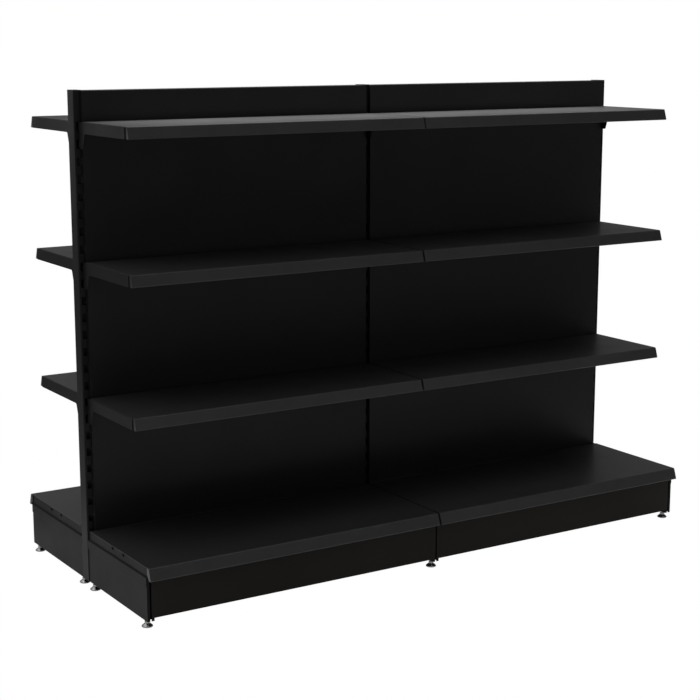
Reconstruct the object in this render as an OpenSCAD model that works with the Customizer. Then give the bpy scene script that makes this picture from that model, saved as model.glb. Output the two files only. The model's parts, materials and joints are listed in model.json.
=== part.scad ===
// Double-sided gondola shelving unit: two bays on three slotted uprights.
// Millimetres. X runs along the unit, the front faces -Y, Z is up and the floor is Z = 0.

/* [Bays] */
// Distance between neighbouring upright centres
bay_pitch = 970; // [700:5:1250]

/* [Uprights] */
// Width of an upright along the unit
upright_w = 26; // [26:1:50]
// Depth of an upright from its front face to its rear face
upright_d = 45; // [38:1:80]
// Wall thickness of the upright tube
upright_wall = 2; // [1.5:0.1:3]
// Outer corner radius of the upright tube
upright_corner_r = 3; // [1:0.1:5]
// Length of the upright tube
upright_h = 1448; // [1350:1:1900]
// Height of the uprights and legs above the floor
floor_gap = 22; // [18:1:30]
// Distance between slot centres
slot_pitch = 50; // [45:1:55]
// Width of a slot
slot_w = 13; // [8:0.5:14]
// Height of a slot
slot_h = 24; // [21:0.5:28]
// Lowest slot centre above the lower end of the tube
first_slot = 48; // [40:1:60]
// Least length of plain tube above the centre of the top slot
slot_margin = 75; // [20:1:95]
// Thickness of the cap on an upright
cap_h = 2; // [1:0.5:6]
// Depth of the cap's plug inside the tube
cap_plug_h = 12; // [6:1:20]
// Gap round the cap's plug
cap_clear = 0.3; // [0.2:0.05:0.6]

/* [Tie rails] */
// Height of a tie rail
rail_h = 36; // [24:1:60]
// Sheet thickness of a tie rail
rail_t = 1.5; // [1:0.1:2.5]
// Thickness of a tie rail's end plate
rail_end_t = 3; // [2:0.5:6]
// Lower edge of the bottom tie rail above the lower end of the uprights
rail_low = 60; // [40:1:100]

/* [Back panels] */
// Sheet thickness of a back panel
panel_t = 0.8; // [0.6:0.1:2]
// Gap between neighbouring panels, over the slots
panel_gap = 15; // [12:0.5:18]
// Distance that a panel's front stands out from the uprights
panel_stand = 12; // [6:0.5:20]
// Width of the fold behind a panel's lower edge
panel_fold = 7; // [5:0.5:9]
// Gap between a panel's inner folds and the uprights
panel_clear = 0.8; // [0.4:0.1:2]
// Gap between the front and the rear panel along the top
panel_top_gap = 2; // [1:0.5:6]
// Gap between the lower edge of a panel and the top of the legs
panel_low_gap = 0.5; // [0.3:0.1:2]

/* [Shelf brackets] */
// Thickness of a bracket
bracket_t = 2.5; // [2:0.1:3]
// Gap between two neighbouring brackets in a slot
bracket_gap = 1; // [0.6:0.1:2]
// Distance of an arm's end behind the top of the shelf's lip
arm_setback = 8; // [4:1:60]
// Height of a bracket's arm below the seat
arm_h = 21; // [16:0.5:32]
// Distance of an arm's top edge below the shelf's surface
arm_top_gap = 1.5; // [0.5:0.1:4]
// Height of a bracket's tail below its lower hook
tail_margin = 2; // [1:0.5:10]
// Depth of a bracket's tail where it meets the arm
tail_d = 40; // [30:1:60]
// Depth of a bracket's tail at its lower end
tail_low_d = 26; // [20:1:29]
// Inside radius between tail and arm
tail_r = 6; // [2:0.5:10]
// Corner radius of the arm's end and the tail's end
bracket_corner_r = 5; // [2:0.5:8]
// Width of the seat folded in along the arm
seat_w = 13; // [10:0.5:20]
// Distance of the seat's ends from the back of the shelf and the end of the arm
seat_inset = 12; // [8:1:30]
// Distance of the locating lug behind the arm's end
lug_setback = 50; // [26:1:120]
// Length of the locating lug
lug_len = 10; // [6:0.5:16]
// Height of the locating lug above the seat
lug_h = 6; // [4:0.5:8]
// Gap round the lug in the shelf
lug_clear = 0.6; // [0.4:0.1:1.2]
// Height of a hook's neck
hook_neck_h = 12; // [9:0.5:13]
// Length of a hook below the edge of its slot
hook_drop = 8; // [5:0.5:8]
// Thickness of a hook behind the wall of the upright
hook_t = 4; // [3:0.5:6]
// Gap between a hook and the inside of the upright
hook_clear = 0.3; // [0.2:0.05:0.6]

/* [Upper shelves] */
// Sheet thickness of shelves and decks
sheet_t = 1; // [0.7:0.1:1.8]
// Depth of a shelf from the upright to the top of its lip
shelf_d = 318; // [300:1:450]
// Slots between one shelf level and the next
level_slots = 8; // [6:1:9]
// Slot of the top shelf, counted down from the top slot
top_shelf_slot = 0; // [0:1:3]
// Height of a shelf's surface above the centre of its upper slot
shelf_rise = 14; // [12:0.5:18]
// Height of a shelf's folded ends
shelf_end_h = 13; // [9:0.5:14]
// Width of the fold that rests on the bracket
shelf_end_fold = 15; // [13:0.5:24]
// Gap between a shelf and its bracket
shelf_clear = 0.4; // [0.3:0.1:1]
// Gap between the back of a shelf or deck and the panel
shelf_rear_gap = 1.2; // [0.5:0.1:4]
// Height of a shelf's rear flange
shelf_rear_h = 22; // [14:1:30]
// Width of the slit between a shelf's folded end and the plate that closes its lip
corner_relief = 2.5; // [1:0.5:6]
// Depth of the plate that closes a shelf's lip, behind the nose
shelf_cap_d = 6; // [2:0.5:12]
// Height of the plate that closes a shelf's lip, at its rear edge
shelf_cap_h = 28; // [14:0.5:32]
// Width of the stiffener under a shelf or deck
stiffener_w = 44; // [30:1:70]
// Depth of the stiffener under a shelf or deck
stiffener_h = 11; // [6:0.5:14]
// Distance of a stiffener's ends from the ends of its shelf or deck
stiffener_inset = 40; // [30:1:80]

/* [Lips] */
// Height of a shelf's lip
shelf_lip_h = 34; // [26:0.5:40]
// Distance that a shelf's lip leans out at its lower edge
shelf_lip_out = 11; // [4:0.5:16]
// Height of a deck's lip
deck_lip_h = 36; // [28:0.5:45]
// Distance that a deck's lip leans out at its lower edge
deck_lip_out = 12; // [4:0.5:16]
// Width of the fold under a lip
lip_fold = 13; // [8:0.5:18]
// Outer radius of the nose between surface and lip
nose_r = 4.5; // [2.5:0.1:8]
// Outer radius of the other folds in the sheet
fold_r = 2.2; // [2:0.1:3]

/* [Base] */
// Depth of a deck from the upright to the top of its lip
deck_d = 416; // [400:1:600]
// Distance that a deck reaches past the centre of an end upright
deck_end_out = 10; // [0:0.5:12]
// Height of a deck's rear flange
deck_rear_h = 30; // [16:1:40]
// Height of a deck's side flange
deck_side_h = 24; // [14:1:26]
// Gap between a deck's side flange and the leg
deck_clear = 1; // [0.5:0.1:3]
// Gap between a deck's side flange and the kick plate
deck_front_gap = 4; // [2:0.5:20]
// Height of the plate that closes a deck's lip, where it meets the leg
lip_cap_h = 21; // [12:0.5:30]
// Distance of a leg's front behind the top of the deck's lip
leg_setback = 14; // [11:0.5:30]
// Height of a base leg
leg_h = 158; // [140:1:200]
// Sheet thickness of a base leg
leg_t = 2; // [1.5:0.1:2.5]
// Width of a leg's narrow top
leg_top_w = 16; // [14:0.5:20]
// Height of a leg's narrow top
leg_top_h = 30; // [24:0.5:40]
// Width of the band below a leg's shoulder
leg_band_w = 25; // [24.5:0.5:29]
// Height of the band below a leg's shoulder
leg_band_h = 27; // [18:0.5:40]
// Height of the slope at a leg's shoulder
leg_slope_h = 5; // [2:0.5:8]
// Width of a leg below the band
leg_low_w = 21.5; // [20:0.5:24]
// Radius of a leg's upper front corner
leg_corner_r = 10; // [4:0.5:20]
// Width of the slit between the two folds at the front of a leg
leg_slit = 5; // [3:0.5:8]
// Distance of a leg's first oblong hole from the upright
leg_hole_f = 170; // [80:1:200]
// Distance between a leg's two oblong holes
leg_hole_pitch = 74; // [30:1:120]
// Length of an oblong hole
leg_hole_len = 14; // [9:0.5:20]
// Height of an oblong hole
leg_hole_h = 7; // [4:0.5:8]
// Distance from the top of a leg to the middle of its holes
leg_hole_drop = 8; // [7:0.5:12]
// Sheet thickness of a kick plate
kick_t = 1; // [0.7:0.1:2]
// Height of a kick plate's lower edge above the floor
kick_low = 31; // [24:1:45]
// Overlap of a kick plate behind the lip above it
kick_lap = 6; // [2:0.5:10]
// Gap between neighbouring kick plates
kick_gap = 5; // [2:0.5:10]
// Depth of the folded edges of a kick plate
kick_fold = 9; // [5:0.5:14]
// Gap between a kick plate's folded edges and the legs
kick_clear = 1; // [0.5:0.1:3]

/* [Levelling feet] */
// Diameter of a foot's pad
foot_pad_dia = 32; // [26:0.5:40]
// Height of the pad's rim
foot_rim_h = 4; // [3:0.5:6]
// Height of the cone on the pad
foot_cone_h = 7; // [4:0.5:8]
// Width of the hexagon across its flats
foot_hex_w = 14; // [12:0.5:18]
// Height of the hexagon
foot_hex_h = 5; // [3:0.5:6]
// Diameter of the stem
foot_stem_dia = 10; // [8:0.5:11]
// Length of stem above the lower end of the leg
foot_stem_up = 36; // [24:1:60]
// Gap round the stem in its plate
foot_clear = 0.3; // [0.2:0.05:0.5]
// Distance of the inner feet from the uprights
foot_inner_f = 17; // [16:0.5:40]
// Distance of the outer feet from the front of the legs
foot_outer_gap = 26; // [18:0.5:60]
// Thickness of the plate that holds a foot
foot_plate_t = 5; // [3:0.5:8]
// Length of the plate that holds a foot
foot_plate_len = 30; // [20:1:34]
// Height of that plate above the lower end of the leg
foot_plate_up = 2; // [1:0.5:6]

/* [Hidden] */
$fn = 48;
bend_steps = 5;
over = 1;
weld = 0.01;
least_inner_r = 0.2;
hex_sides = 6;
slope_share = 3;
chamfer_share = 4;

UPRIGHTS = ["left", "middle", "right"];
BAYS = ["left", "right"];
SIDES = ["front", "rear"];
LEVELS = ["bottom", "middle", "top"];
FEET = ["inner", "outer"];

steel = [0.075, 0.075, 0.08];
steel_light = [0.13, 0.13, 0.135];
plating = [0.72, 0.72, 0.74];
cap_black = [0.05, 0.05, 0.05];

upright_top = floor_gap + upright_h;
both_walls = 2 * upright_wall;
upright_inner_r = max(upright_corner_r - upright_wall, least_inner_r);
slot_count = floor((upright_h - first_slot - slot_margin) / slot_pitch) + 1;
top_level_slot = slot_count - 1 - top_shelf_slot;
slot_low_edge = -slot_h / 2;

leg_top = floor_gap + leg_h;
leg_d = deck_d - leg_setback;
deck_top = leg_top + sheet_t;
deck_lip_low = deck_top - deck_lip_h;
kick_top = deck_lip_low + kick_lap;
outer_foot_f = leg_d - foot_outer_gap;

bracket_off = bracket_gap / 2;
arm_len = shelf_d - arm_setback;
lug_f = arm_len - lug_setback;
shelf_off = bracket_off + bracket_t + shelf_clear;
shelf_len = bay_pitch - 2 * shelf_off;
shelf_rear_f = panel_stand + shelf_rear_gap;
shelf_cap_f = shelf_d - nose_r - shelf_cap_d;
shelf_front_f = shelf_cap_f - corner_relief;
seat_drop = shelf_end_h - shelf_rise;
shelf_mid_f = (shelf_rear_f + shelf_d) / 2;
deck_mid_f = (shelf_rear_f + deck_d) / 2;
deck_len = bay_pitch - shelf_off + deck_end_out;
deck_shift = (deck_len - shelf_len) / 2;
deck_side_off = leg_band_w / 2 + deck_clear;
deck_side_front_f = leg_d - kick_fold - deck_front_gap;
lip_cap_f = leg_d + kick_t + deck_clear;

clear_span = bay_pitch - upright_w;
panel_len = bay_pitch - panel_gap;
panel_low = leg_top + panel_low_gap;
panel_fold_len = clear_span - 2 * panel_clear;
panel_top_fold = (upright_d - panel_top_gap) / 2;
rail_d = upright_d - 2 * (panel_fold + panel_clear);
rail_tops = [
    floor_gap + rail_low + rail_h,
    (floor_gap + upright_top + rail_h) / 2,
    upright_top - panel_t
];

function upright_x(i) = (i - 1) * bay_pitch;
function bay_x(b) = (b - 0.5) * bay_pitch;
function slot_z(k) = floor_gap + first_slot + k * slot_pitch;
function level_slot(v) = top_level_slot - (len(LEVELS) - 1 - v) * level_slots;
function shelf_top(v) = slot_z(level_slot(v)) + shelf_rise;

function name_of(words, i = 0) = i == len(words) - 1 ? words[i] : str(words[i], "_", name_of(words, i + 1));

// Outlines of bent sheet: a path of corners is rounded and then given its thickness on one side.
function unit(v) = v / norm(v);
function left_of(v) = [-v[1], v[0]];
function turned(v, a) = [v[0] * cos(a) - v[1] * sin(a), v[0] * sin(a) + v[1] * cos(a)];
function leg_dir(p, i) = unit(p[i + 1] - p[i]);
function turn_at(p, i) = let (a = leg_dir(p, i - 1), b = leg_dir(p, i)) atan2(cross(a, b), a * b);
function bend(p, i, r) =
    let (a = leg_dir(p, i - 1), turn = turn_at(p, i), s = sign(turn))
    let (centre = p[i] - a * r * tan(abs(turn) / 2) + s * r * left_of(a))
    [for (k = [0:bend_steps]) centre - s * r * left_of(turned(a, turn * k / bend_steps))];
function rounded(p, r) = concat(
    [p[0]],
    [for (i = [1:len(p) - 2]) each r[i - 1] > 0 ? bend(p, i, r[i - 1]) : [p[i]]],
    [p[len(p) - 1]]
);
function miter(p, i) =
    let (a = left_of(leg_dir(p, max(i - 1, 0))), b = left_of(leg_dir(p, min(i, len(p) - 2))))
    let (n = unit(a + b))
    n / (n * a);
function strip(p, t) = concat(p, [for (i = [len(p) - 1:-1:0]) p[i] + t * miter(p, i)]);

// A profile of (distance out, height) stretched along the unit, centred on X = 0.
module along_unit(length) {
    rotate([90, 0, -90])
        linear_extrude(length, center = true)
            children();
}

// A profile of (position along the unit, height) stretched outwards between two distances.
module outwards(from, to) {
    translate([0, -from, 0])
        rotate([90, 0, 0])
            linear_extrude(to - from)
                children();
}

// A box from (along, out, height) corners.
module block(low, high) {
    translate([low[0], -high[1], low[2]])
        cube([high[0] - low[0], high[1] - low[1], high[2] - low[2]]);
}

// Moves a piece drawn from an upright's face to the front or rear of the unit.
module on_side(s, x) {
    translate([x, 0, 0])
        mirror([0, s, 0])
            translate([0, -upright_d / 2, 0])
                children();
}

// Draws a piece at both ends of a length, turned towards the middle.
module both_ends(length) {
    for (m = [0, 1])
        mirror([m, 0, 0])
            translate([-length / 2, 0, 0])
                children();
}

module rounded_rect(w, d, r) {
    square([w - 2 * r, d], center = true);
    square([w, d - 2 * r], center = true);
    for (sx = [-1, 1])
        for (sy = [-1, 1])
            translate([sx * (w / 2 - r), sy * (d / 2 - r)])
                circle(r);
}

module upright() {
    color(steel)
        difference() {
            translate([0, 0, floor_gap])
                linear_extrude(upright_h)
                    difference() {
                        rounded_rect(upright_w, upright_d, upright_corner_r);
                        rounded_rect(upright_w - both_walls, upright_d - both_walls, upright_inner_r);
                    }
            for (k = [0:slot_count - 1])
                translate([0, 0, slot_z(k)])
                    cube([slot_w, upright_d + 2 * over, slot_h], center = true);
        }
}

module upright_cap() {
    inset = 2 * (upright_wall + cap_clear);
    color(cap_black)
        translate([0, 0, upright_top]) {
            linear_extrude(cap_h)
                rounded_rect(upright_w, upright_d, upright_corner_r);
            translate([0, 0, -cap_plug_h])
                linear_extrude(cap_plug_h + weld)
                    rounded_rect(upright_w - inset, upright_d - inset, upright_inner_r);
        }
}

module tie_rail(top) {
    half = rail_d / 2;
    section = [[-half, -rail_h], [-half, 0], [half, 0], [half, -rail_h]];
    color(steel_light)
        translate([0, 0, top]) {
            along_unit(clear_span)
                polygon(strip(rounded(section, [fold_r, fold_r]), -rail_t));
            both_ends(clear_span)
                block([0, rail_t - half, -rail_h], [rail_end_t, half - rail_t, -rail_t]);
        }
}

// A shallow tray with its open side against the uprights, and folds that reach in between them.
module back_panel() {
    section = [
        [0, upright_top],
        [panel_stand, upright_top],
        [panel_stand, panel_low],
        [0, panel_low]
    ];
    half = panel_fold_len / 2;
    color(steel) {
        along_unit(panel_len)
            polygon(strip(section, -panel_t));
        both_ends(panel_len)
            block([0, 0, panel_low], [panel_t, panel_stand, upright_top]);
        block([-half, -panel_top_fold, upright_top - panel_t], [half, panel_t, upright_top]);
        block([-half, -panel_fold, panel_low], [half, panel_t, panel_low + panel_t]);
    }
}

// A hook through a slot whose centre is at Z = 0, as a profile of (distance out, height).
module hook_profile() {
    behind = -upright_wall - hook_clear;
    tip = behind - hook_t;
    polygon([
        [over, slot_low_edge],
        [behind, slot_low_edge],
        [behind, slot_low_edge - hook_drop],
        [behind - hook_t / 2, slot_low_edge - hook_drop],
        [tip, slot_low_edge - hook_drop + hook_t],
        [tip, slot_low_edge + hook_neck_h - hook_t / 2],
        [tip + hook_t / 2, slot_low_edge + hook_neck_h],
        [over, slot_low_edge + hook_neck_h]
    ]);
}

// One bracket; Z = 0 is the centre of its upper slot and X = 0 the middle of the upright.
module bracket() {
    low = seat_drop + slot_low_edge - slot_pitch - tail_margin;
    high = shelf_end_h - arm_top_gap;
    outline = [
        [0, high],
        [arm_len, high],
        [arm_len, -arm_h],
        [tail_d, -arm_h],
        [tail_low_d, low],
        [0, low]
    ];
    corners = [bracket_corner_r, bracket_corner_r, tail_r, bracket_corner_r];
    translate([bracket_off + bracket_t / 2, 0, 0])
        along_unit(bracket_t) {
            translate([0, -seat_drop])
                polygon(rounded(outline, corners));
            for (k = [0, 1])
                translate([0, -k * slot_pitch])
                    hook_profile();
        }
    seat_x = bracket_off + bracket_t;
    lug_x = seat_x + seat_w / 2;
    translate([0, 0, -seat_drop]) {
        block(
            [seat_x - weld, shelf_rear_f + seat_inset, -bracket_t],
            [seat_x + seat_w, arm_len - seat_inset, 0]
        );
        block(
            [lug_x - bracket_t / 2, lug_f - lug_len / 2, -weld],
            [lug_x + bracket_t / 2, lug_f + lug_len / 2, lug_h]
        );
    }
}

module shelf_brackets() {
    color(steel)
        for (v = [0:len(LEVELS) - 1])
            translate([0, 0, slot_z(level_slot(v))])
                both_ends(bay_pitch)
                    bracket();
}

// Surface, slanted lip and rear flange of a shelf or deck, with Z = 0 at the surface.
module tray(length, depth, lip_h, lip_out, rear_h) {
    path = [
        [shelf_rear_f, -rear_h],
        [shelf_rear_f, 0],
        [depth, 0],
        [depth + lip_out, -lip_h],
        [depth + lip_out - lip_fold, -lip_h]
    ];
    along_unit(length)
        polygon(strip(rounded(path, [fold_r, nose_r, fold_r]), -sheet_t));
}

// Hat-section stiffener under a surface at Z = 0.
module stiffener(middle) {
    half = stiffener_w / 2;
    slope = stiffener_h / slope_share;
    path = [
        [middle - half, -sheet_t / 2],
        [middle - half + slope, -stiffener_h],
        [middle + half - slope, -stiffener_h],
        [middle + half, -sheet_t / 2]
    ];
    along_unit(shelf_len - 2 * stiffener_inset)
        polygon(strip(path, sheet_t));
}

// Plate that closes the end of a lip, from a rear edge of the given place and height.
module lip_cap(depth, lip_h, lip_out, rear_f, rear_h) {
    half_t = sheet_t / 2;
    translate([half_t, 0, 0])
        along_unit(sheet_t)
            polygon([
                [rear_f, -half_t],
                [depth - nose_r, -half_t],
                [depth + lip_out * nose_r / lip_h - half_t, -nose_r],
                [depth + lip_out - sheet_t, half_t - lip_h],
                [depth + lip_out - lip_fold, half_t - lip_h],
                [rear_f, -rear_h]
            ]);
}

module shelf() {
    end_path = [[shelf_end_fold, -shelf_end_h], [0, -shelf_end_h], [0, 0]];
    hole_x = seat_w / 2 - shelf_clear;
    hole_half = bracket_t / 2 + lug_clear;
    lug_half = lug_len / 2 + lug_clear;
    color(steel) {
        tray(shelf_len, shelf_d, shelf_lip_h, shelf_lip_out, shelf_rear_h);
        stiffener(shelf_mid_f);
        both_ends(shelf_len) {
            lip_cap(shelf_d, shelf_lip_h, shelf_lip_out, shelf_cap_f, shelf_cap_h);
            difference() {
                outwards(shelf_rear_f, shelf_front_f)
                    polygon(strip(rounded(end_path, [fold_r]), -sheet_t));
                block(
                    [hole_x - hole_half, lug_f - lug_half, -shelf_end_h - over],
                    [hole_x + hole_half, lug_f + lug_half, -shelf_end_h + sheet_t + over]
                );
            }
        }
    }
}

// A deck of the left bay, which reaches out over the leg at its left end.
module base_deck() {
    color(steel) {
        difference() {
            translate([-deck_shift, 0, 0])
                tray(deck_len, deck_d, deck_lip_h, deck_lip_out, deck_rear_h);
            both_ends(bay_pitch)
                block(
                    [-deck_end_out - over, 0, -deck_rear_h - over],
                    [deck_side_off, shelf_rear_f + 2 * fold_r, -sheet_t]
                );
        }
        stiffener(deck_mid_f);
        translate([-deck_shift, 0, 0])
            both_ends(deck_len)
                lip_cap(deck_d, deck_lip_h, deck_lip_out, lip_cap_f, lip_cap_h);
        both_ends(bay_pitch)
            block(
                [deck_side_off, shelf_rear_f, -deck_side_h],
                [deck_side_off + sheet_t, deck_side_front_f, -sheet_t / 2]
            );
    }
}

// Right half of a leg's outer section, from its lower end to the middle of its top.
function leg_half() = [
    [leg_low_w / 2, floor_gap],
    [leg_low_w / 2, leg_top - leg_top_h - leg_band_h],
    [leg_band_w / 2, leg_top - leg_top_h - leg_band_h + leg_t],
    [leg_band_w / 2, leg_top - leg_top_h],
    [leg_top_w / 2, leg_top - leg_top_h + leg_slope_h],
    [leg_top_w / 2, leg_top]
];
function mirrored(p) = [for (i = [len(p) - 1:-1:0]) [-p[i][0], p[i][1]]];

module leg_hole(f) {
    half = (leg_hole_len - leg_hole_h) / 2;
    translate([0, -f, leg_top - leg_hole_drop])
        rotate([90, 0, 90])
            linear_extrude(leg_band_w, center = true) {
                square([2 * half, leg_hole_h], center = true);
                for (s = [-1, 1])
                    translate([s * half, 0])
                        circle(leg_hole_h / 2);
            }
}

module base_leg() {
    section = concat(leg_half(), mirrored(leg_half()));
    outline = [[0, leg_top], [leg_d, leg_top], [leg_d, floor_gap], [0, floor_gap]];
    color(steel)
        difference() {
            union() {
                intersection() {
                    union() {
                        outwards(0, leg_d)
                            polygon(strip(section, leg_t));
                        outwards(0, leg_t)
                            polygon(section);
                        difference() {
                            outwards(leg_d - leg_t, leg_d)
                                polygon(section);
                            block(
                                [-leg_slit / 2, leg_d - 2 * leg_t, floor_gap - over],
                                [leg_slit / 2, leg_d + over, leg_top - leg_corner_r]
                            );
                        }
                        for (f = [foot_inner_f, outer_foot_f])
                            foot_plate(f);
                    }
                    along_unit(leg_band_w + over)
                        polygon(rounded(outline, [leg_corner_r, 0]));
                }
                for (k = [0, 1])
                    for (m = [0, 1])
                        translate([0, 0, slot_z(k)])
                            mirror([m, 0, 0])
                                translate([bracket_off + bracket_t / 2, 0, 0])
                                    along_unit(bracket_t)
                                        hook_profile();
            }
            for (f = [foot_inner_f, outer_foot_f])
                translate([0, -f, floor_gap - over])
                    cylinder(d = foot_stem_dia + 2 * foot_clear, h = foot_plate_up + foot_plate_t + 2 * over);
            for (k = [0, 1])
                leg_hole(leg_hole_f + k * leg_hole_pitch);
        }
}

module foot_plate(f) {
    half_w = (leg_low_w - leg_t) / 2;
    low = floor_gap + foot_plate_up;
    block([-half_w, f - foot_plate_len / 2, low], [half_w, f + foot_plate_len / 2, low + foot_plate_t]);
}

module levelling_foot() {
    pad_r = foot_pad_dia / 2;
    stem_r = foot_stem_dia / 2;
    hex_low = foot_rim_h + foot_cone_h;
    rim_chamfer = foot_rim_h / chamfer_share;
    color(plating) {
        rotate_extrude()
            polygon([
                [0, 0],
                [pad_r - rim_chamfer, 0],
                [pad_r, rim_chamfer],
                [pad_r, foot_rim_h - rim_chamfer],
                [pad_r - rim_chamfer, foot_rim_h],
                [foot_hex_w / 2, hex_low],
                [stem_r, hex_low],
                [stem_r, floor_gap + foot_stem_up - rim_chamfer],
                [stem_r - rim_chamfer, floor_gap + foot_stem_up],
                [0, floor_gap + foot_stem_up]
            ]);
        translate([0, 0, hex_low - weld])
            cylinder(d = foot_hex_w / cos(180 / hex_sides), h = foot_hex_h, $fn = hex_sides);
    }
}

module kick_plate() {
    back = leg_d;
    half = (bay_pitch - kick_gap) / 2;
    fold_len = bay_pitch - leg_band_w - 2 * kick_clear;
    section = [
        [back - kick_fold, kick_low],
        [back + kick_t, kick_low],
        [back + kick_t, kick_top],
        [back - kick_fold, kick_top]
    ];
    color(steel) {
        along_unit(fold_len)
            polygon(strip(section, kick_t));
        block([-half, back, kick_low], [half, back + kick_t, kick_top]);
    }
}

for (i = [0:len(UPRIGHTS) - 1]) {
    translate([upright_x(i), 0, 0]) upright();
    translate([upright_x(i), 0, 0]) upright_cap();
}

for (b = [0:len(BAYS) - 1])
    for (v = [0:len(LEVELS) - 1])
        translate([bay_x(b), 0, 0]) tie_rail(rail_tops[v]);

for (s = [0:len(SIDES) - 1]) {
    for (i = [0:len(UPRIGHTS) - 1]) {
        on_side(s, upright_x(i)) base_leg();
        on_side(s, upright_x(i)) translate([0, -foot_inner_f, 0]) levelling_foot();
        on_side(s, upright_x(i)) translate([0, -outer_foot_f, 0]) levelling_foot();
    }
    for (b = [0:len(BAYS) - 1]) {
        on_side(s, bay_x(b)) back_panel();
        on_side(s, bay_x(b)) kick_plate();
        on_side(s, bay_x(b)) translate([0, 0, deck_top]) mirror([b, 0, 0]) base_deck();
        on_side(s, bay_x(b)) shelf_brackets();
        for (v = [0:len(LEVELS) - 1])
            on_side(s, bay_x(b)) translate([0, 0, shelf_top(v)]) shelf();
    }
}
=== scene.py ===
"""Looks of a double-sided gondola shelving unit in black powder coat, on a white studio floor."""

import json
import math

import bpy
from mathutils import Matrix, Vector

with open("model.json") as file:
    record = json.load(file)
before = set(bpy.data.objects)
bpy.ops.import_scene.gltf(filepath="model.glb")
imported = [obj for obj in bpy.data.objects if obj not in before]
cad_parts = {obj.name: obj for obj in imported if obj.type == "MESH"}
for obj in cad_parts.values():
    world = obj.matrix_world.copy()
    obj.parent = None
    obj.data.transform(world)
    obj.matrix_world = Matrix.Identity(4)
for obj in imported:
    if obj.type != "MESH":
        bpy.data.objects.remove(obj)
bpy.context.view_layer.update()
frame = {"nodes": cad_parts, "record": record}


# Node building

def add(tree, kind, **values):
    """A node of that kind. Names of sockets set their values, other names set properties."""
    made = tree.nodes.new("ShaderNode" + kind)
    for name, value in values.items():
        label = name.replace("_", " ")
        if label in made.inputs:
            made.inputs[label].default_value = value
        else:
            setattr(made, name, value)
    return made


def wire(tree, source, target):
    tree.links.new(source, target)


def ramp(tree, source, stops):
    """A colour ramp over a value, from (position, grey) stops."""
    made = add(tree, "ValToRGB")
    points = made.color_ramp.elements
    while len(points) < len(stops):
        points.new(1.0)
    for point, (place, grey) in zip(points, stops):
        point.position = place
        point.color = (grey, grey, grey, 1.0)
    wire(tree, source, made.inputs["Fac"])
    return made.outputs["Color"]


def sums(tree, operation, a, b, clamp=False):
    """A Math node. Either side is a socket or a number."""
    made = add(tree, "Math", operation=operation, use_clamp=clamp)
    for place, side in enumerate((a, b)):
        if isinstance(side, (int, float)):
            made.inputs[place].default_value = side
        else:
            wire(tree, side, made.inputs[place])
    return made.outputs["Value"]


def noise(tree, vector, scale, detail=2.0, roughness=0.5):
    made = add(tree, "TexNoise", Scale=scale, Detail=detail, Roughness=roughness)
    wire(tree, vector, made.inputs["Vector"])
    return made.outputs["Fac"]


def group(name, inputs, outputs):
    """An empty node group with its sockets: (name, kind, default) and (name, kind)."""
    tree = bpy.data.node_groups.new(name, "ShaderNodeTree")
    for label, kind, default in inputs:
        made = tree.interface.new_socket(label, in_out="INPUT", socket_type="NodeSocket" + kind)
        made.default_value = default
    for label, kind in outputs:
        tree.interface.new_socket(label, in_out="OUTPUT", socket_type="NodeSocket" + kind)
    return tree, tree.nodes.new("NodeGroupInput").outputs, tree.nodes.new("NodeGroupOutput").inputs


def use(tree, shared, **values):
    made = tree.nodes.new("ShaderNodeGroup")
    made.node_tree = shared
    for name, value in values.items():
        made.inputs[name].default_value = value
    return made.outputs


# Effects shared by several materials

def make_grain():
    """Fine orange peel of powder coat, with slow changes of sheen and tone over a whole sheet."""
    tree, given, result = group(
        "coat grain",
        [("Cells", "Float", 700.0)],
        [("Height", "Float"), ("Sheen", "Float"), ("Tone", "Float")],
    )
    place = add(tree, "TexCoord").outputs["Object"]
    peel = add(tree, "TexNoise", Detail=2.0, Roughness=0.55)
    wire(tree, place, peel.inputs["Vector"])
    wire(tree, given["Cells"], peel.inputs["Scale"])
    specks = noise(tree, place, 2600.0, 1.0)
    wire(tree, sums(tree, "ADD", peel.outputs["Fac"], sums(tree, "MULTIPLY", specks, 0.35)), result["Height"])
    wire(tree, ramp(tree, noise(tree, place, 7.0, 3.0, 0.6), [(0.3, 0.0), (0.7, 1.0)]), result["Sheen"])
    wire(tree, ramp(tree, noise(tree, place, 2.5, 4.0, 0.65), [(0.25, 0.0), (0.75, 1.0)]), result["Tone"])
    return tree


def make_dust():
    """Thin dust that lies on surfaces which face up."""
    tree, given, result = group("settled dust", [("Amount", "Float", 1.0)], [("Mask", "Float")])
    place = add(tree, "TexCoord").outputs["Object"]
    facing = add(tree, "SeparateXYZ")
    wire(tree, add(tree, "NewGeometry").outputs["Normal"], facing.inputs["Vector"])
    up = sums(tree, "SMOOTH_MIN", sums(tree, "MAXIMUM", facing.outputs["Z"], 0.0), 1.0)
    patches = ramp(tree, noise(tree, place, 30.0, 5.0, 0.7), [(0.4, 0.0), (0.8, 1.0)])
    wire(
        tree,
        sums(tree, "MULTIPLY", sums(tree, "MULTIPLY", up, patches), given["Amount"]),
        result["Mask"],
    )
    return tree


def make_upright_light():
    """Upright faces, such as lips, that the coats paint lighter: painted light, varied in streaks."""
    tree, given, result = group("painted light on upright faces", [("Least", "Float", 0.3)], [("Mask", "Float")])
    place = add(tree, "TexCoord").outputs["Object"]
    facing = add(tree, "SeparateXYZ")
    wire(tree, add(tree, "NewGeometry").outputs["Normal"], facing.inputs["Vector"])
    steep = ramp(tree, sums(tree, "ABSOLUTE", facing.outputs["Z"], 0.0), [(0.4, 1.0), (0.8, 0.0)])
    streaks = sums(tree, "MAXIMUM", noise(tree, place, 12.0, 3.0, 0.6), given["Least"])
    wire(tree, sums(tree, "MULTIPLY", steep, sums(tree, "ADD", streaks, 0.5), clamp=True), result["Mask"])
    return tree


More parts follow.
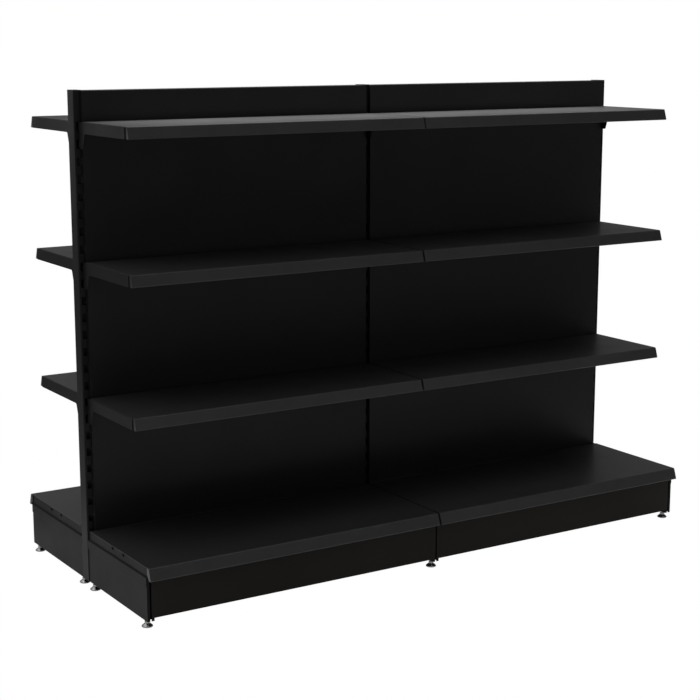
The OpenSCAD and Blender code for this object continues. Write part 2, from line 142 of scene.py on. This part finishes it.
def make_edges():
    """Normals that round the sharp edges of folded and cut sheet."""
    tree, given, result = group("soft edges", [("Radius", "Float", 0.0008)], [("Normal", "Vector")])
    made = add(tree, "Bevel", samples=4)
    wire(tree, given["Radius"], made.inputs["Radius"])
    wire(tree, made.outputs["Normal"], result["Normal"])
    return tree


def make_recess_shade():
    """How open a place is, from ambient occlusion: nought inside slots, tubes and narrow gaps, and one on
    open sheet. Coats paint shade where it is low.
    """
    tree, given, result = group("painted recess shade", [("Reach", "Float", 0.07)], [("Open", "Float")])
    made = add(tree, "AmbientOcclusion", samples=4)
    wire(tree, given["Reach"], made.inputs["Distance"])
    wire(tree, ramp(tree, made.outputs["AO"], [(0.08, 0.0), (0.42, 1.0)]), result["Open"])
    return tree


GRAIN = make_grain()
DUST = make_dust()
UPRIGHT_LIGHT_MASK = make_upright_light()
EDGES = make_edges()
RECESS_SHADE = make_recess_shade()


# Materials

TONE_SPREAD = 0.12  # share by which a coat's tone goes up and down over a sheet
GLOSS_SPREAD = 0.04
SHEEN_ROUGHNESS = 0.3
PEEL_DEPTH = 0.0004  # m
THREAD_DEPTH = 0.0006  # m
DUST_TONE = (0.22, 0.215, 0.21, 1.0)
# Near-black painted shade for slots, tubes and narrow gaps.
PAINTED_SHADE_TONE = (0.001, 0.001, 0.001, 1.0)
ZINC_BRIGHT = (0.55, 0.55, 0.545, 1.0)
ZINC_HAZY = (0.36, 0.36, 0.365, 1.0)


def surface(name):
    made = bpy.data.materials.new(name)
    made.use_nodes = True
    tree = made.node_tree
    shader = tree.nodes["Principled BSDF"]
    return made, tree, shader


def coat(name, tone, rough=0.42, shine=0.5, peel=0.12, dust=0.0, sheen=0.0, upright_lift=1.0):
    """Powder coat of a mean tone.

    Dust lies on what faces up, and sheen is its glow at flat angles. Upright faces get painted
    light: their tone is raised by a given factor. Slots and narrow gaps get painted shade and are dull.
    """
    made, tree, shader = surface(name)
    grain = use(tree, GRAIN)
    colour = add(tree, "Mix", data_type="RGBA")
    colour.inputs["A"].default_value = (*((1.0 - TONE_SPREAD) * part for part in tone), 1.0)
    colour.inputs["B"].default_value = (*((1.0 + TONE_SPREAD) * part for part in tone), 1.0)
    wire(tree, grain["Tone"], colour.inputs["Factor"])
    # Painted light: upright faces such as lips are made lighter by the given factor.
    upright_lit = add(tree, "Mix", data_type="RGBA", blend_type="MULTIPLY")
    upright_lit.inputs["B"].default_value = (upright_lift, upright_lift, upright_lift, 1.0)
    wire(tree, colour.outputs["Result"], upright_lit.inputs["A"])
    wire(tree, use(tree, UPRIGHT_LIGHT_MASK)["Mask"], upright_lit.inputs["Factor"])
    dusty = add(tree, "Mix", data_type="RGBA")
    dusty.inputs["B"].default_value = DUST_TONE
    wire(tree, upright_lit.outputs["Result"], dusty.inputs["A"])
    wire(tree, use(tree, DUST, Amount=dust)["Mask"], dusty.inputs["Factor"])
    openness = use(tree, RECESS_SHADE)["Open"]
    # Painted shade: the base colour goes near-black where ambient occlusion finds a slot, tube or narrow gap.
    recess_shade = add(tree, "Mix", data_type="RGBA")
    recess_shade.inputs["A"].default_value = PAINTED_SHADE_TONE
    wire(tree, dusty.outputs["Result"], recess_shade.inputs["B"])
    wire(tree, openness, recess_shade.inputs["Factor"])
    wire(tree, recess_shade.outputs["Result"], shader.inputs["Base Color"])
    gloss = add(tree, "MapRange", To_Min=rough - GLOSS_SPREAD, To_Max=rough + GLOSS_SPREAD)
    wire(tree, grain["Sheen"], gloss.inputs["Value"])
    dull = sums(tree, "SUBTRACT", 1.0, openness)
    wire(tree, sums(tree, "MAXIMUM", gloss.outputs["Result"], dull), shader.inputs["Roughness"])
    shader.inputs["Specular IOR Level"].default_value = shine
    shader.inputs["Sheen Weight"].default_value = sheen
    shader.inputs["Sheen Roughness"].default_value = SHEEN_ROUGHNESS
    bump = add(tree, "Bump", Strength=peel, Distance=PEEL_DEPTH)
    wire(tree, grain["Height"], bump.inputs["Height"])
    wire(tree, use(tree, EDGES)["Normal"], bump.inputs["Normal"])
    wire(tree, bump.outputs["Normal"], shader.inputs["Normal"])
    return made


def plating(name):
    """Zinc on the feet, a little hazy and ridged like a thread."""
    made, tree, shader = surface(name)
    place = add(tree, "TexCoord").outputs["Object"]
    haze = ramp(tree, noise(tree, place, 160.0, 4.0, 0.6), [(0.3, 0.0), (0.75, 1.0)])
    tone = add(tree, "Mix", data_type="RGBA")
    tone.inputs["A"].default_value = ZINC_BRIGHT
    tone.inputs["B"].default_value = ZINC_HAZY
    wire(tree, haze, tone.inputs["Factor"])
    wire(tree, tone.outputs["Result"], shader.inputs["Base Color"])
    shader.inputs["Metallic"].default_value = 1.0
    dull = add(tree, "MapRange", To_Min=0.22, To_Max=0.4)
    wire(tree, haze, dull.inputs["Value"])
    wire(tree, dull.outputs["Result"], shader.inputs["Roughness"])
    turns = add(tree, "TexWave", wave_type="BANDS", bands_direction="Z", Scale=105.0)
    wire(tree, place, turns.inputs["Vector"])
    bump = add(tree, "Bump", Strength=0.5, Distance=THREAD_DEPTH)
    wire(tree, turns.outputs["Fac"], bump.inputs["Height"])
    wire(tree, use(tree, EDGES)["Normal"], bump.inputs["Normal"])
    wire(tree, bump.outputs["Normal"], shader.inputs["Normal"])
    return made


def black(tone):
    """A neutral black."""
    return (tone, tone, tone)


# The black coats are one powder coat. Their tones differ from part to part as painted light and shade, each
# set to how bright that part comes out under the light, darkest on the panels and legs.
LOOKS = {
    "upright_coat": coat("upright coat", black(0.021), shine=0.12),
    "cap_plastic": coat("cap plastic", black(0.026), rough=0.5, shine=0.3, peel=0.2),
    "rail_coat": coat("rail coat", black(0.03)),
    "panel_coat": coat("panel coat", black(0.014), shine=0.25),
    "leg_coat": coat("leg coat", black(0.013), shine=0.08),
    "kick_coat": coat("kick plate coat", (0.02, 0.0178, 0.0145), shine=0.1),
    "deck_coat": coat("deck coat", black(0.027), rough=0.33, dust=0.04, sheen=0.05, upright_lift=1.65),
    "bracket_coat": coat("bracket coat", black(0.018), shine=0.12),
    "shelf_coat": coat("shelf coat", black(0.031), rough=0.33, dust=0.04, sheen=0.05, upright_lift=1.65),
    "foot_plating": plating("zinc plating"),
}

for part in frame["record"]["subparts"]:
    piece = frame["nodes"][part["node"]]
    piece.data.materials.clear()
    piece.data.materials.append(LOOKS[part["material_slot"]])


# Stage

# The floor's tone is a painted pool of light, bright around the unit and darker further away, and
# mirrored light meets white near the unit; both go by the distance from the unit's centre as a
# share of the floor's span. The span is measured to the front and is twice as long sideways.
FLOOR_SPAN = 5.0
FLOOR_SCALE = (0.5, 1.0, 1.0)
# Painted pool of light: the floor's tone by distance from the unit.
FLOOR_LIGHT_POOL = [(0.20, 0.70), (0.70, 0.12)]
FLOOR_MIRRORED = [(0.15, 0.4), (0.20, 0.0)]

# Brightness of the studio as the unit sees it: each wall at four heights, and the zenith. Heights
# are sines of the angle above the horizon. Mirrored rays meet white close to the horizon.
WALL_HEIGHTS = (0.02, 0.07, 0.4, 0.75)
WALLS = {
    "front": (0.20, 0.05, 0.05, 0.30),
    "back": (0.20, 0.03, 0.20, 1.20),
    "left": (0.20, 0.25, 0.25, 0.45),
    "right": (0.02, 0.02, 0.02, 0.02),
}
ZENITH = 1.6
HORIZON_MIRRORED = [(0.02, 1.0), (0.05, 0.0)]

SOFTBOX_POWER = 16.0  # W
SOFTBOX_SIZE = (1.9, 0.3)
SOFTBOX_SPREAD = math.radians(24.0)
SOFTBOX_PLACE = (0.0, 0.45, 2.9)
SOFTBOX_TILT = math.atan2(-0.6, 1.5)  # down and towards the front


def sees_white(tree, glossy_share):
    """Which rays meet white: all from the camera or through glass, and a share of mirrored ones."""
    path = add(tree, "LightPath").outputs
    mirrored = sums(tree, "MULTIPLY", path["Is Glossy Ray"], glossy_share)
    direct = sums(tree, "MAXIMUM", path["Is Camera Ray"], path["Is Transmission Ray"])
    return sums(tree, "MAXIMUM", direct, mirrored)


def make_floor():
    """White to the camera. To the unit, its tone is a painted pool of light: bright around the feet and
    darker further away.
    """
    bpy.ops.mesh.primitive_plane_add(size=40.0, location=(0.0, 0.0, 0.0))
    floor = bpy.context.active_object
    floor.name = "floor"
    made, tree, shader = surface("studio floor")
    place = add(tree, "TexCoord").outputs["Object"]
    oval = add(tree, "Mapping", vector_type="POINT", Scale=FLOOR_SCALE)
    wire(tree, place, oval.inputs["Vector"])
    away = add(tree, "VectorMath", operation="LENGTH")
    wire(tree, oval.outputs["Vector"], away.inputs["Vector"])
    reach = sums(tree, "DIVIDE", away.outputs["Value"], FLOOR_SPAN)
    patchy = sums(tree, "ADD", reach, sums(tree, "MULTIPLY", noise(tree, place, 0.8), 0.02))
    # Painted pool of light: the floor's tone is bright around the unit and darker further away.
    wire(tree, ramp(tree, patchy, FLOOR_LIGHT_POOL), shader.inputs["Base Color"])
    shader.inputs["Roughness"].default_value = 0.8
    shader.inputs["Specular IOR Level"].default_value = 0.0
    glow = add(tree, "Emission", Color=(1.0, 1.0, 1.0, 1.0), Strength=1.0)
    pick = add(tree, "MixShader")
    wire(tree, sees_white(tree, ramp(tree, reach, FLOOR_MIRRORED)), pick.inputs["Fac"])
    wire(tree, shader.outputs["BSDF"], pick.inputs[1])
    wire(tree, glow.outputs["Emission"], pick.inputs[2])
    wire(tree, pick.outputs["Shader"], tree.nodes["Material Output"].inputs["Surface"])
    floor.data.materials.append(made)


def make_world():
    """White to the camera. To the unit, walls and a ceiling that differ in brightness."""
    world = bpy.data.worlds.new("studio")
    bpy.context.scene.world = world
    world.use_nodes = True
    tree = world.node_tree
    way = add(tree, "SeparateXYZ")
    wire(tree, add(tree, "TexCoord").outputs["Generated"], way.inputs["Vector"])
    along, out, height = way.outputs["X"], way.outputs["Y"], way.outputs["Z"]
    flat = sums(tree, "ADD", sums(tree, "MULTIPLY", along, along), sums(tree, "MULTIPLY", out, out))
    total = 0.0
    sides = {"front": (out, -1.0), "back": (out, 1.0), "left": (along, -1.0), "right": (along, 1.0)}
    for side, (axis, sign) in sides.items():
        facing = sums(tree, "MAXIMUM", sums(tree, "MULTIPLY", axis, sign), 0.0)
        share = sums(tree, "DIVIDE", sums(tree, "MULTIPLY", facing, facing), flat)
        level = ramp(tree, height, [*zip(WALL_HEIGHTS, WALLS[side]), (1.0, ZENITH)])
        total = sums(tree, "ADD", sums(tree, "MULTIPLY", share, level), total)
    room = tree.nodes["Background"]
    wire(tree, total, room.inputs["Color"])
    glow = add(tree, "Background", Color=(1.0, 1.0, 1.0, 1.0), Strength=1.0)
    pick = add(tree, "MixShader")
    wire(tree, sees_white(tree, ramp(tree, height, HORIZON_MIRRORED)), pick.inputs["Fac"])
    wire(tree, room.outputs["Background"], pick.inputs[1])
    wire(tree, glow.outputs["Background"], pick.inputs[2])
    wire(tree, pick.outputs["Shader"], tree.nodes["World Output"].inputs["Surface"])


def make_softbox():
    """A long lamp over the unit. The top shelves keep its light off everything below them."""
    light = bpy.data.lights.new("softbox", "AREA")
    light.shape = "RECTANGLE"
    light.size, light.size_y = SOFTBOX_SIZE
    light.spread = SOFTBOX_SPREAD
    light.energy = SOFTBOX_POWER
    lamp = bpy.data.objects.new("softbox", light)
    lamp.location = SOFTBOX_PLACE
    lamp.rotation_euler = (SOFTBOX_TILT, 0.0, 0.0)
    lamp.visible_camera = False
    lamp.visible_glossy = False
    bpy.context.scene.collection.objects.link(lamp)


make_floor()
make_world()
make_softbox()


# Camera

YAW, PITCH = 0.56472, -0.19397  # fitted to edges in the photograph
CAMERA_PLACE = (-2.7599, -4.2835, 1.6209)
FOCAL_LENGTH = 82.18  # mm
SENSOR = 36.0  # mm

aim = Vector((math.sin(YAW) * math.cos(PITCH), math.cos(YAW) * math.cos(PITCH), math.sin(PITCH)))
lens = bpy.data.cameras.new("photo view")
lens.sensor_width = SENSOR
lens.lens = FOCAL_LENGTH
lens.clip_end = 100.0
camera = bpy.data.objects.new("photo view", lens)
camera.location = CAMERA_PLACE
camera.rotation_euler = aim.to_track_quat("-Z", "Y").to_euler()
bpy.context.scene.collection.objects.link(camera)
bpy.context.scene.camera = camera
bpy.context.scene.view_settings.view_transform = "Standard"
